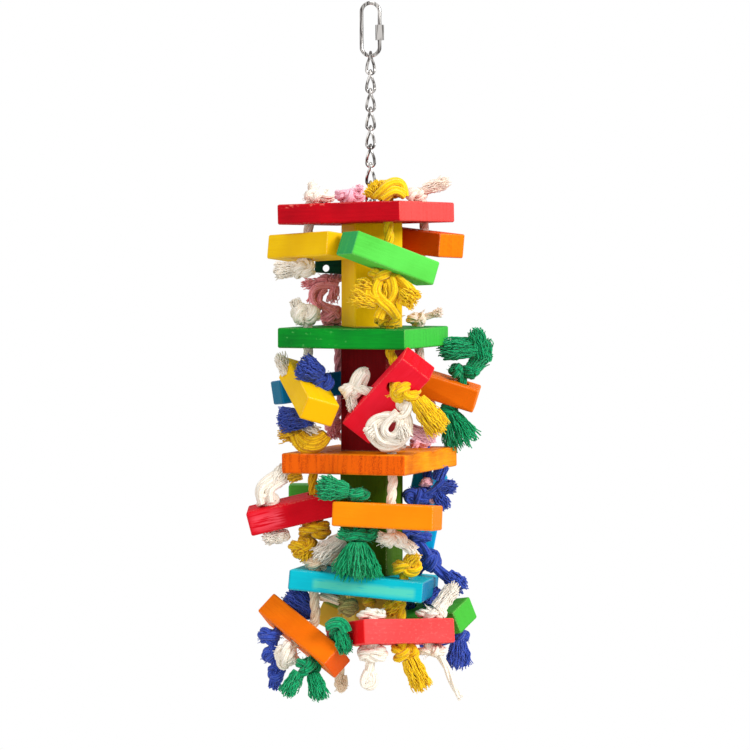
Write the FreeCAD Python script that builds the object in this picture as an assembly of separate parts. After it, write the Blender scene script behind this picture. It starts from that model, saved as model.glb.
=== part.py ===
import FreeCAD, Part
import math
import os

# Hanging wooden parrot toy: four square boards on a centre wire, a turned-square column block
# under each board, one cotton rope through each board corner with a side block knotted on it,
# and a twisted-link chain with a quick link to hang it by.
# Millimetres, +Z up. The origin is where the quick link hangs, at the top of the inside of its eye.
# -Y is the front. Tiers count from the top, 0 to 3.

V = FreeCAD.Vector

# Boards
board_side = 97.0
board_thickness = 14.5
board_count = 4
top_board_drop = 150.9        # from the hanging point to the middle of the top board
rope_inset = 17.0             # from a board's edge to the middle of a rope hole
wood_chamfer = 0.9            # eased edges of every wooden piece

# Column blocks
column_side = 36.0
column_height = 75.0
end_column_height = 37.0
column_turns = [16.6, -22.0, -20.0, 16.0]
column_asides = [0.8, 1.6, 0.8, 1.3]      # how far each one sits off the wire, by its hole's play

# Side blocks
block_width = 25.0
block_thickness = 17.5

# Ropes
rope_radius = 3.6
rope_hole_clearance = 1.1
rope_sides = 8
hole_sides = 16               # rope holes have flats, which keeps the model light
knot_radius = 10.5
knot_height = 12.0
knot_seat = 0.3               # how far a knot lies from the wood that it bears on
tail_radius = 4.0
tail_length = 4.0
short_knot_radius = 8.5
short_knot_height = 8.5
rope_lead = 5.0               # how far a rope runs straight out of a hole before it bends
rope_bend_share = 0.9         # the share of that run which its bend takes up

# Chain and quick link
chain_wire_radius = 1.1
chain_half_width = 2.9        # from a link's middle to the middle of its wire
chain_pitch = 13.4
chain_link_count = 8
hang_gap = 0.15               # between two wires that hang on each other
link_wire_radius = 1.4
link_half_width = 6.6
link_straight = 25.0
gate_gap = 6.0                # opening that the sleeve nut closes
gate_middle_drop = 20.0
nut_length = 11.0
nut_across_flats = 5.4
nut_clearance = 0.12
wire_sides = 8

# Centre wire and its washer
core_wire_radius = 1.1
core_half_width = 2.6
core_hole_radius = 5.0
core_foot = 9.0               # length of each bent end under the washer
washer_radius = 10.0
washer_thickness = 1.5
washer_gap = 0.1

rope_hole_radius = rope_radius + rope_hole_clearance
board_pitch = board_thickness + column_height
rope_reach = board_side / 2 - rope_inset

# Each board: colour, turn, pitch, roll, and how far its middle lies to the side of the wire
boards = [
    ("red", -25.0, -1.0, 0.7, -2.7),
    ("green", -20.0, 0.3, 0.6, -4.7),
    ("orange", -24.0, -0.5, 0.7, -0.2),
    ("teal", -8.0, 4.8, -2.9, -4.2),
]
corners = {"left": (-1, -1), "front": (1, -1), "right": (1, 1), "back": (-1, 1)}
columns = ["yellow", "maroon", "olive", "pale_yellow"]

# Each side block: its colour, how far its middle lies to the right of, behind and below the middle
# of its rope hole in the board, its turn, pitch and roll, its length, and where its own rope hole is
# along and across it
blocks = {
    (0, "left"): ("yellow", (1.5, -0.3, 24.5), (-53.4, -1.4, -6.6), 75.0, (-1.0, -2.5)),
    (0, "front"): ("green", (-0.1, -5.9, 33.1), (27.2, 18.7, -1.2), 69.0, (-1.0, 4.0)),
    (0, "right"): ("orange", (-5.2, 2.3, 20.0), (-48.1, 5.5, -1.4), 75.0, (4.0, 2.0)),
    (0, "back"): ("dark_green", (14.4, 0.1, 36.5), (0.0, 4.0, 0.0), 75.0, (-15.0, 0.0)),
    (1, "left"): ("yellow", (0.5, 0.3, 39.2), (-75.7, 20.5, -17.0), 75.0, (-4.5, -4.0)),
    (1, "front"): ("red", (-1.5, -8.0, 40.9), (-42.1, -39.8, -52.6), 75.0, (13.0, -3.0)),
    (1, "right"): ("orange", (7.1, 11.9, 35.5), (-4.0, 17.1, 8.1), 75.0, (-10.0, -4.0)),
    (1, "back"): ("teal", (-10.7, -1.9, 36.8), (18.4, -7.8, -3.5), 75.0, (12.5, -2.0)),
    (2, "left"): ("red", (-14.5, 0.2, 36.1), (-3.4, -13.5, 8.7), 64.0, (18.0, 2.5)),
    (2, "front"): ("orange", (-3.9, -6.9, 36.8), (-17.2, 1.3, -3.4), 75.0, (1.5, 4.0)),
    (2, "right"): ("teal", (-2.1, 12.5, 38.6), (0.0, -79.0, 90.0), 56.0, (0.0, 0.0)),
    (2, "back"): ("green", (-7.0, -2.1, 29.5), (0.0, 0.0, 0.0), 75.0, (7.0, 2.0)),
    (3, "left"): ("orange", (-8.4, 0.7, 35.6), (-39.6, 28.0, -36.2), 72.0, (1.0, -3.5)),
    (3, "front"): ("red", (-0.6, 0.0, 31.8), (29.3, 2.9, -10.3), 75.0, (-1.0, -2.5)),
    (3, "right"): ("green", (8.6, -6.3, 29.6), (-37.4, -9.0, 23.0), 75.0, (-12.0, 5.0)),
    (3, "back"): ("pale_yellow", (13.2, 19.7, 29.2), (75.0, 0.0, 25.0), 75.0, (-22.5, 5.0)),
}
# Short ropes that only go through a side block: colour and where along the block their hole is
short_ropes = {
    (1, "right"): [("green", 24.0)],
    (2, "left"): [("white", -14.0)],
    (2, "front"): [("green", -22.0)],
    (3, "left"): [("blue", -18.0), ("green", 21.0)],
    (3, "front"): [("white", -23.0), ("natural", 21.0)],
}
# One more goes through a block from edge to edge
edge_ropes = {(1, "front"): ("white", -6.0)}
# Tails that are longer than usual: the way a rope's frayed end points, its length and its radius
long_tails = {
    (0, "left"): {"lower": ((-0.8, -0.2, -0.6), 14.0, 6.0)},
    (0, "front"): {"upper": ((-0.7, 0.0, 0.7), 10.0, 6.0), "lower": ((0.9, -0.3, -0.7), 15.0, 6.0)},
    (0, "right"): {"upper": ((0.9, -0.1, 0.5), 18.0, 4.0)},
    (0, "back"): {"lower": ((-0.7, -0.2, -0.7), 6.0, 5.0)},
    (1, "left"): {"lower": ((-0.6, 0.0, -0.8), 15.0, 8.0)},
    (1, "front"): {"lower": ((0.6, -0.5, -0.7), 20.0, 7.0)},
    (1, "right", "green"): {"upper": ((0.1, 0.0, 1.0), 22.0, 8.0), "lower": ((0.35, -0.1, -1.0), 26.0, 8.0)},
    (2, "left"): {"lower": ((-0.3, -0.1, -1.0), 17.0, 8.0)},
    (2, "left", "white"): {"upper": ((0.2, 0.1, 1.0), 12.0, 7.0)},
    (2, "front", "green"): {"upper": ((-0.9, -0.2, 0.4), 15.0, 6.0), "lower": ((0.0, -0.3, -1.0), 22.0, 9.0)},
    (3, "left"): {"upper": ((-0.1, -0.1, 1.0), 12.0, 6.0)},
    (3, "left", "blue"): {"upper": ((0.0, 0.0, 1.0), 8.0, 7.0), "lower": ((0.1, 0.0, -1.0), 22.0, 7.0)},
    (3, "left", "green"): {"lower": ((-0.1, -0.1, -1.0), 24.0, 10.0)},
    (3, "front"): {"lower": ((0.4, -0.1, -1.0), 26.0, 6.0)},
    (3, "front", "white"): {"lower": ((0.0, -0.1, -1.0), 18.0, 5.0)},
    (3, "front", "natural"): {"lower": ((0.4, -0.1, -1.0), 30.0, 3.0)},
    (3, "right"): {"upper": ((0.3, -1.0, 0.1), 12.0, 5.0), "lower": ((0.0, -0.1, -1.0), 20.0, 7.0)},
    (3, "back"): {"lower": ((0.1, -0.2, -1.0), 22.0, 4.0)},
}
# A small see-through hole across one block
cross_hole = {"block": (0, "back"), "along": -29.3, "drop": 5.0, "radius": 2.6}

def placement(x, y, z, turn=0.0, pitch=0.0, roll=0.0):
    return FreeCAD.Placement(V(x, y, z), FreeCAD.Rotation(turn, pitch, roll))


def centred_box(length, width, height):
    return Part.makeBox(length, width, height, V(-length / 2, -width / 2, -height / 2))


def through_hole(radius, reach, x=0.0, y=0.0):
    """A drill along Z, longer than the wood is deep."""
    return Part.makeCylinder(radius, 2 * reach, V(x, y, -reach))


def rope_hole(reach, x, y=0.0):
    turns = [2 * math.pi * k / hole_sides for k in range(hole_sides + 1)]
    outline = [
        V(x + rope_hole_radius * math.cos(t), y + rope_hole_radius * math.sin(t), -reach)
        for t in turns
    ]
    return Part.Face(Part.makePolygon(outline)).extrude(V(0, 0, 2 * reach))


def ringed_solid(rings, closed=False):
    """A solid between rings of points, each ring joined to the next by flat facets."""
    count, facets = len(rings[0]), []
    spans = len(rings) if closed else len(rings) - 1
    for k in range(spans):
        a, b = rings[k], rings[(k + 1) % len(rings)]
        for i in range(count):
            j = (i + 1) % count
            for corner in ((a[i], a[j], b[j]), (a[i], b[j], b[i])):
                facets.append(Part.Face(Part.makePolygon([*corner, corner[0]])))
    if not closed:
        for ring in (rings[0], rings[-1]):
            facets.append(Part.Face(Part.makePolygon([*ring, ring[0]])))
    solid = Part.Solid(Part.Shell(facets))
    if solid.Volume < 0:
        solid.reverse()
    return solid


def ring(middle, along, out, radius, sides):
    """One ring of a bar: sides points round middle, square to along, the first towards out."""
    along = V(along).normalize()
    out = (out - along * out.dot(along)).normalize()
    side = along.cross(out)
    turns = [2 * math.pi * (i + 0.5) / sides for i in range(sides)]
    return [middle + out * (radius * math.cos(t)) + side * (radius * math.sin(t)) for t in turns]


def tangents(points, closed=False):
    count = len(points)
    found = []
    for i in range(count):
        before = points[i - 1] if i or closed else points[i]
        after = points[(i + 1) % count] if i < count - 1 or closed else points[i]
        found.append((after - before).normalize())
    return found


def bar(points, outs, radius, sides, closed=False):
    rings = [
        ring(p, t, o, radius, sides) for p, t, o in zip(points, tangents(points, closed), outs)
    ]
    return ringed_solid(rings, closed)


def half_turn(middle, across, up, radius, steps):
    """Points and outward directions of half a circle, from +across over +up to -across."""
    outs = [
        across * math.cos(math.pi * k / steps) + up * math.sin(math.pi * k / steps)
        for k in range(steps + 1)
    ]
    return [middle + o * radius for o in outs], outs


# Where things hang
quick_link_arc_drop = link_half_width - link_wire_radius
quick_link_low = quick_link_arc_drop + link_straight + link_half_width
chain_top = -quick_link_low + link_wire_radius + chain_wire_radius + hang_gap
link_length = chain_pitch + 2 * chain_wire_radius + hang_gap
chain_bottom = chain_top - (chain_link_count - 1) * chain_pitch - link_length
core_top = chain_bottom + chain_wire_radius + core_wire_radius + hang_gap
board_drops = [top_board_drop + k * board_pitch for k in range(board_count)]
wood_end = -board_drops[-1] - board_thickness / 2 - end_column_height


def quick_link():
    """A wire bent into a long eye, open on one side where the sleeve nut closes it."""
    x, high, low = link_half_width, -quick_link_arc_drop, -quick_link_arc_drop - link_straight
    right, left, up, down = V(1, 0, 0), V(-1, 0, 0), V(0, 0, 1), V(0, 0, -1)
    gate_high = -gate_middle_drop + gate_gap / 2
    gate_low = -gate_middle_drop - gate_gap / 2
    bottom, bottom_outs = half_turn(V(0, 0, low), right, down, link_half_width, 9)
    top, top_outs = half_turn(V(0, 0, high), left, up, link_half_width, 9)
    points = [V(x, 0, gate_low), *bottom, *top, V(x, 0, gate_high)]
    outs = [right, *bottom_outs, *top_outs, right]
    return bar(points, outs, link_wire_radius, wire_sides)


def quick_link_nut():
    """The hexagon sleeve nut that closes the eye."""
    corner = nut_across_flats / math.sqrt(3)
    flats = [
        V(link_half_width + corner * math.cos(math.pi * k / 3), corner * math.sin(math.pi * k / 3), 0)
        for k in range(7)
    ]
    low = -gate_middle_drop - nut_length / 2
    nut = Part.Face(Part.makePolygon(flats)).extrude(V(0, 0, nut_length))
    nut.translate(V(0, 0, low))
    bore = Part.makeCylinder(link_wire_radius + nut_clearance, nut_length, V(link_half_width, 0, low))
    return nut.cut(bore)


def chain_link(top):
    """A link twisted a quarter turn: its upper bow is edge on from the front, its lower face on."""
    bow_steps, side_steps = 6, 2
    high, low = top - chain_half_width, top - link_length + chain_half_width
    points, outs = half_turn(V(0, 0, high), V(0, 1, 0), V(0, 0, 1), chain_half_width, bow_steps)
    lower, lower_outs = half_turn(V(0, 0, low), V(-1, 0, 0), V(0, 0, -1), chain_half_width, bow_steps)

    def side(first_turn, start, end):
        found = []
        for k in range(1, side_steps):
            share = k / side_steps
            turn = math.radians(first_turn - 90 * share if start > end else first_turn + 90 * share)
            out = V(math.cos(turn), math.sin(turn), 0)
            found.append((out * chain_half_width + V(0, 0, start + (end - start) * share), out))
        return found

    for p, o in side(270, high, low):
        points.append(p)
        outs.append(o)
    points += lower
    outs += lower_outs
    for p, o in side(0, low, high):
        points.append(p)
        outs.append(o)
    return bar(points, outs, chain_wire_radius, wire_sides, closed=True)


def core_wire():
    """One wire bent double: its bend is the eye that hangs on the chain, and its two legs run
    down through every board and column block and are bent outwards under the washer."""
    front, back, up = V(0, -1, 0), V(0, 1, 0), V(0, 0, 1)
    eye, eye_outs = half_turn(V(0, 0, core_top - core_half_width), back, up, core_half_width, 6)
    foot_height = wood_end - washer_thickness - washer_gap - core_wire_radius
    bend = core_half_width

    def leg(way):
        """The lower end of a leg, from the tip of its foot up to the start of its straight run."""
        reach = core_half_width + core_foot
        found = [(V(0, 0, foot_height) + way * reach, V(0, 0, -1))]
        for k in range(4):
            turn = math.pi / 2 * k / 3
            middle = way * (core_half_width + bend) + V(0, 0, foot_height + bend)
            out = way * -math.sin(turn) + V(0, 0, -math.cos(turn))
            found.append((middle + out * bend, out))
        return found

    rising, falling = leg(back), list(reversed(leg(front)))
    points = [p for p, _ in rising] + eye + [p for p, _ in falling]
    # the side of the wire that faces away from its own bend turns over between foot and eye
    outs = [o for _, o in rising] + [o * -1 for o in eye_outs] + [o for _, o in falling]
    return bar(points, outs, core_wire_radius, wire_sides)


def end_washer():
    """A plate washer stamped with 24 sides."""
    rims = []
    for radius in (washer_radius, core_hole_radius):
        turns = [2 * math.pi * k / 24 for k in range(25)]
        outline = [V(radius * math.cos(t), radius * math.sin(t), 0) for t in turns]
        rims.append(Part.Face(Part.makePolygon(outline)).extrude(V(0, 0, washer_thickness)))
    washer = rims[0].cut(rims[1])
    washer.translate(V(0, 0, wood_end - washer_thickness))
    return washer


def board_place(tier):
    _, turn, pitch, roll, aside = boards[tier]
    return placement(aside, 0, -board_drops[tier], turn, pitch, roll)


def wire_point(tier):
    """Where the centre wire passes through a board, in the board's own axes."""
    place = board_place(tier)
    normal = place.Rotation.multVec(V(0, 0, 1))
    middle = place.Base
    on_axis = V(0, 0, middle.z + (middle.x * normal.x + middle.y * normal.y) / normal.z)
    return place.inverse().multVec(on_axis)


def board(tier):
    solid = centred_box(board_side, board_side, board_thickness)
    solid = solid.makeChamfer(wood_chamfer, solid.Edges)
    at = wire_point(tier)
    holes = [through_hole(core_hole_radius, board_thickness, at.x, at.y)]
    for sx, sy in corners.values():
        holes.append(rope_hole(board_thickness, sx * rope_reach, sy * rope_reach))
    solid = solid.cut(Part.makeCompound(holes))
    solid.Placement = board_place(tier)
    return solid


def wire_offset(tier):
    """Where the centre wire passes through a column block, in the block's own axes."""
    turn = math.radians(column_turns[tier])
    return -column_asides[tier] * math.cos(turn), column_asides[tier] * math.sin(turn)


def column(tier):
    """A column block: its ends are cut to lie flat against the boards above and below it."""
    lower = board_drops[tier] + board_pitch
    if tier == board_count - 1:
        lower = -wood_end
    height = lower - board_drops[tier]
    solid = centred_box(column_side, column_side, height)
    upright = [e for e in solid.Edges if abs(e.tangentAt(e.FirstParameter).z) > 0.9]
    solid = solid.makeChamfer(wood_chamfer, upright)
    solid = solid.cut(through_hole(core_hole_radius, height, *wire_offset(tier)))
    middle = -(board_drops[tier] + lower) / 2
    solid.Placement = placement(column_asides[tier], 0, middle, column_turns[tier])
    for k in (tier, tier + 1):
        if k < board_count:
            slice_off = centred_box(2 * board_side, 2 * board_side, board_thickness)
            slice_off.Placement = board_place(k)
            solid = solid.cut(slice_off)
    return solid


def board_hole(tier, corner, height=0.0):
    """A point on the axis of a board's rope hole, height above the board's middle."""
    sx, sy = corners[corner]
    return board_place(tier).multVec(V(sx * rope_reach, sy * rope_reach, height))


def block_place(key):
    _, (right, behind, below), angles, _, _ = blocks[key]
    hole = board_hole(*key)
    return placement(hole.x + right, hole.y + behind, -board_drops[key[0]] - below, *angles)


def side_block(key):
    length, (along, across) = blocks[key][3:]
    solid = centred_box(length, block_width, block_thickness)
    solid = solid.makeChamfer(wood_chamfer, solid.Edges)
    holes = [rope_hole(block_thickness, along, across)]
    for _, x in short_ropes.get(key, []):
        holes.append(rope_hole(block_thickness, x))
    if key in edge_ropes:
        drill = Part.makeCylinder(rope_hole_radius, 2 * block_width, V(0, -block_width, 0), V(0, 1, 0))
        drill.translate(V(edge_ropes[key][1], 0, 0))
        holes.append(drill)
    if key == cross_hole["block"]:
        drill = Part.makeCylinder(cross_hole["radius"], 2 * block_width, V(0, -block_width, 0), V(0, 1, 0))
        drill.translate(V(cross_hole["along"], 0, -cross_hole["drop"]))
        holes.append(drill)
    solid = solid.cut(Part.makeCompound(holes))
    solid.Placement = block_place(key)
    return solid


def rounded_route(points, longest_run):
    """Straight runs joined by tangent arcs, as a list of points."""
    route = [points[0]]
    for before, corner, after in zip(points, points[1:], points[2:]):
        start, end = (before - corner), (after - corner)
        turn = math.pi - start.getAngle(end)
        if turn < math.radians(8):
            route.append(corner)
            continue
        run = min(longest_run, 0.45 * min(start.Length, end.Length))
        start, end = V(start).normalize() * run, V(end).normalize() * run
        radius = run / math.tan(turn / 2)
        inward = (start + end).normalize()
        middle = corner + inward * (radius / math.cos(turn / 2) - radius)
        route += [corner + start, middle, corner + end]
    route.append(points[-1])
    return route


def knot_and_tail(base, axis, knot, tail):
    """Stations of a knot that bears on the wood at base, and of the frayed end that leaves it."""
    wide, high = knot
    way, length, radius = tail or (axis, tail_length, tail_radius)
    way = V(*way).normalize()
    top = base + axis * (knot_seat + high)
    stations = [(base + axis * (knot_seat + h * high), r * wide, axis)
                for h, r in ((0.0, 0.8), (0.35, 1.0), (0.75, 0.85))]
    stations.append((top, tail_radius, (axis + way).normalize()))
    if tail:
        stations.append((top + way * (0.6 * length), radius, way))
    stations.append((top + way * length, 0.8 * radius, way))
    return stations


def knotted_rope(route, lead=rope_lead, knot=(knot_radius, knot_height), tails=None):
    """A rope along a route, with a knot at each end and a frayed tail past it. The route runs from
    the face that the first knot bears on to the face that the last knot bears on."""
    tails = tails or {}
    first, last = (route[0] - route[1]).normalize(), (route[-1] - route[-2]).normalize()
    start = knot_and_tail(route[0], first, knot, tails.get("upper"))
    finish = knot_and_tail(route[-1], last, knot, tails.get("lower"))
    points = rounded_route(route, rope_bend_share * lead)
    points[0], points[-1] = route[0] + first * knot_seat, route[-1] + last * knot_seat
    stations = [(p, r, w * -1) for p, r, w in reversed(start)]
    stations += [(p, rope_radius, t) for p, t in zip(points, tangents(points))]
    stations += finish
    return ringed_solid([ring(p, w, V(1, 0.2, 0.1), r, rope_sides) for p, r, w in stations])


def corner_rope(key):
    """The rope that holds a side block: knotted on the board, through both holes, knotted again."""
    place, (along, across) = block_place(key), blocks[key][4]

    def block_hole(height):
        return place.multVec(V(along, across, height))

    drop = board_hole(*key, -board_thickness / 2).z - block_hole(block_thickness / 2).z
    lead = min(rope_lead, 0.3 * drop)
    under = board_hole(*key, -board_thickness / 2 - lead)
    entry = block_hole(block_thickness / 2 + lead)
    route = [board_hole(*key, board_thickness / 2), under, entry, block_hole(-block_thickness / 2)]
    if entry.z < block_hole(-block_thickness / 2).z + lead:
        # this block stands on end, so its rope runs down its face and turns into the hole
        route.insert(2, V(under.x, entry.y, entry.z + 3 * lead))
    return knotted_rope(route, lead, tails=long_tails.get(key))


def short_rope(key, colour, along):
    place = block_place(key)
    ends = [place.multVec(V(along, 0, h)) for h in (block_thickness / 2, -block_thickness / 2)]
    small_knot = (short_knot_radius, short_knot_height)
    return knotted_rope(ends, knot=small_knot, tails=long_tails.get((*key, colour)))


def edge_rope(key, along):
    place = block_place(key)
    ends = [place.multVec(V(along, w, 0)) for w in (-block_width / 2, block_width / 2)]
    return knotted_rope(ends, knot=(short_knot_radius, short_knot_height))


def save(name, shape):
    shape.exportStep(os.path.join("parts", name + ".step"))


def main():
    os.makedirs("parts", exist_ok=True)
    save("quick_link", quick_link())
    save("quick_link_nut", quick_link_nut())
    for k in range(chain_link_count):
        save(f"chain_link_{k + 1}", chain_link(chain_top - k * chain_pitch))
    save("core_wire", core_wire())
    save("end_washer", end_washer())
    for tier in range(board_count):
        save(f"board_{tier + 1}_{boards[tier][0]}", board(tier))
        save(f"column_{tier + 1}_{columns[tier]}", column(tier))
    for (tier, corner), row in blocks.items():
        save(f"block_{tier + 1}_{corner}_{row[0]}", side_block((tier, corner)))
        save(f"rope_{tier + 1}_{corner}", corner_rope((tier, corner)))
        for colour, along in short_ropes.get((tier, corner), []):
            save(f"rope_{tier + 1}_{corner}_{colour}", short_rope((tier, corner), colour, along))
    for (tier, corner), (colour, along) in edge_ropes.items():
        save(f"rope_{tier + 1}_{corner}_{colour}", edge_rope((tier, corner), along))


main()
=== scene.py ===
import math
import random

import bpy
from mathutils import Euler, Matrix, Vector


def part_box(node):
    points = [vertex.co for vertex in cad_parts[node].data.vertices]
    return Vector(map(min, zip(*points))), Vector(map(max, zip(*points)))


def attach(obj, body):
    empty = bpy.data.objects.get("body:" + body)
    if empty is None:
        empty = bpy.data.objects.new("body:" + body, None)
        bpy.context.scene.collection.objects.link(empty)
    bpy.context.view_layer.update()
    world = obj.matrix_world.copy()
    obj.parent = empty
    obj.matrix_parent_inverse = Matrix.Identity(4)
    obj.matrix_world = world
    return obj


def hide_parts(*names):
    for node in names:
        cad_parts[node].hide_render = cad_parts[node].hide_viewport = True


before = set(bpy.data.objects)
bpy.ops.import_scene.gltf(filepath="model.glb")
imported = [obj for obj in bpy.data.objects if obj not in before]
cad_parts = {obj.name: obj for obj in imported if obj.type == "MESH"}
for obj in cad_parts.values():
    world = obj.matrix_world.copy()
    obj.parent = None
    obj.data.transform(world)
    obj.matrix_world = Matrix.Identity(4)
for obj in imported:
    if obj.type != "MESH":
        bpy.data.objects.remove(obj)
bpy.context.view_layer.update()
random.seed(7)
mm = 0.001
hair = 0.01 * mm  # points closer than this are one


# the shaders' linear colour of an sRGB hex colour
def toLinear(hexColor):
    parts = [int(hexColor[i:i + 2], 16) / 255 for i in (1, 3, 5)]
    return [*(p / 12.92 if p <= 0.04045 else ((p + 0.055) / 1.055) ** 2.4 for p in parts), 1.0]


def newTree(name):
    material = bpy.data.materials.new(name)
    material.use_nodes = True
    material.node_tree.nodes.clear()
    return material.node_tree


def addObject(name, data):
    made = bpy.data.objects.new(name, data)
    bpy.context.collection.objects.link(made)
    return made


def setMode(mode):
    bpy.ops.object.mode_set(mode=mode)


# adds a node, sets its settings, and fills its inputs with values or links from other nodes
# (a Mix node of colours has them at inputs 6 and 7, and its result at output 2)
def addNode(tree, kind, inputs=None, **settings):
    node = tree.nodes.new("ShaderNode" + kind)
    for key, value in settings.items():
        setattr(node, key, value)
    for key, value in (inputs or {}).items():
        if isinstance(value, bpy.types.Node):
            value = value.outputs[0]
        if isinstance(value, bpy.types.NodeSocket):
            tree.links.new(value, node.inputs[key])
        else:
            node.inputs[key].default_value = value
    return node


# camera, in mm and degrees, worked out from the edges of the boards
view = {"place": (3.2, -1950, -202.47), "tiltDown": 1.93, "lens": 128.75}
# each lamp's place, size and power, in metres and watts, and the place that they aim at
lamps = {
    "key": ((1.5, -1.2, 0.75), 0.8, 43), "fill": ((-1.5, -1.5, -0.1), 1.4, 9),
    "top": ((0.2, -0.3, 1.5), 1.0, 8),
}
lampAim = Vector((0, 0, -0.3))
# sky is how brightly the background lights what is matt
studio = {"sky": 0.68, "floorHeight": -0.64, "floorRadius": 0.42, "floorColor": "#eeeeec"}
camera = addObject("camera", bpy.data.cameras.new("camera"))
camera.data.lens = view["lens"]
camera.location = Vector(view["place"]) * mm
camera.rotation_euler = (math.radians(90 - view["tiltDown"]), 0, 0)
bpy.context.scene.camera = camera
bpy.context.scene.view_settings.view_transform = "Standard"
for lampName, (place, size, power) in lamps.items():
    lamp = addObject(lampName + "Lamp", bpy.data.lights.new(lampName + "Lamp", "AREA"))
    lamp.data.shape = "SQUARE"
    lamp.data.size = size
    lamp.data.energy = power
    lamp.location = place
    lamp.rotation_euler = (lampAim - Vector(place)).to_track_quat("-Z", "Y").to_euler()

# a white studio background, also where metal mirrors it, and a softer glow elsewhere
world = bpy.data.worlds.new("paleStudio")
bpy.context.scene.world = world
world.use_nodes = True
world.node_tree.nodes.clear()
rays = addNode(world.node_tree, "LightPath")
seen = addNode(world.node_tree, "Math", {
    0: rays.outputs["Is Camera Ray"], 1: rays.outputs["Is Glossy Ray"]}, operation="MAXIMUM")
seen = addNode(world.node_tree, "Math", {
    0: seen, 1: rays.outputs["Is Transmission Ray"]}, operation="MAXIMUM")
glow = addNode(world.node_tree, "Mix", {0: seen, 2: studio["sky"], 3: 1.0}, data_type="FLOAT")
background = addNode(world.node_tree, "Background", {"Color": (1, 1, 1, 1), "Strength": glow})
addNode(world.node_tree, "OutputWorld", {"Surface": background})

bpy.ops.object.select_all(action="DESELECT")
bpy.ops.mesh.primitive_circle_add(vertices=64, radius=studio["floorRadius"], fill_type="NGON",
                                  location=(0, 0, studio["floorHeight"]))
floor = bpy.context.object
floor.name = "floor"
# pale matt paint far below, which shows no gloss
paint = newTree("mattPaintedFloor")
floorPaint = addNode(paint, "BsdfPrincipled", {
    "Base Color": toLinear(studio["floorColor"]), "Roughness": 0.9, "Specular IOR Level": 0.2})
addNode(paint, "OutputMaterial", {"Surface": floorPaint})
floor.data.materials.append(bpy.data.materials["mattPaintedFloor"])
print("camera, lamps and floor ready")

# rings 3.5 mm apart with some dark and some hardly there, fibres 1 mm wide and 40 mm long, patches
# about 30 mm across, grit below 1 mm; a scale is for metres, and the other sizes are in mm
pine = {
    "ringScale": 90, "ringStretch": (0.1, 1, 1), "ringWarp": 9.0, "unevenScale": (3, 230, 22),
    "fibreScale": (25, 900, 900), "fibreShare": 0.24, "blotchScale": 32, "blotchShare": 0.6,
    "gritScale": 1400, "rubbedAndHighlitWide": 0.4, "rubbedAndHighlitColor": "#ffe9c8", "relief": 0.12, "shine": 0.08,
}


# how far a point is from the nearest edge of a block of the given half sizes
def edgeDistance(tree, place, half):
    reach = []
    for axis, size in enumerate(half):
        depth = addNode(tree, "Math", {0: place.outputs[axis]}, operation="ABSOLUTE")
        reach.append(addNode(tree, "Math", {0: size * mm, 1: depth}, operation="SUBTRACT"))
    pairs = [addNode(tree, "Math", {0: reach[a], 1: reach[b]}, operation="MAXIMUM")
             for a, b in ((0, 1), (1, 2), (0, 2))]
    nearest = addNode(tree, "Math", {0: pairs[0], 1: pairs[1]}, operation="MINIMUM")
    return addNode(tree, "Math", {0: nearest, 1: pairs[2]}, operation="MINIMUM")


# where the dye is scraped off one part of the front, in short strokes
def scuffMask(tree, local, place, normal, worn):
    mask = addNode(tree, "MapRange", {"Value": normal.outputs[1], "From Min": -0.5, "From Max": -0.8})
    for axis, low, high in ((0, *worn["along"]), (2, *worn["up"])):
        for start, stop in ((low, low + worn["soft"]), (high, high - worn["soft"])):
            inside = addNode(tree, "MapRange", {
                "Value": place.outputs[axis], "From Min": start * mm, "From Max": stop * mm})
            mask = addNode(tree, "Math", {0: mask, 1: inside}, operation="MULTIPLY")
    strokeSpace = addNode(tree, "Mapping", {"Vector": local, "Scale": worn["strokes"]})
    strokes = addNode(tree, "TexNoise", {"Vector": strokeSpace, "Scale": 1.0, "Detail": 3})
    strokes = addNode(tree, "MapRange", {
        "Value": strokes, "From Min": worn["from"], "From Max": worn["from"] + 0.12,
        "To Max": worn["share"]})
    return addNode(tree, "Math", {0: mask, 1: strokes}, operation="MULTIPLY")
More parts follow.
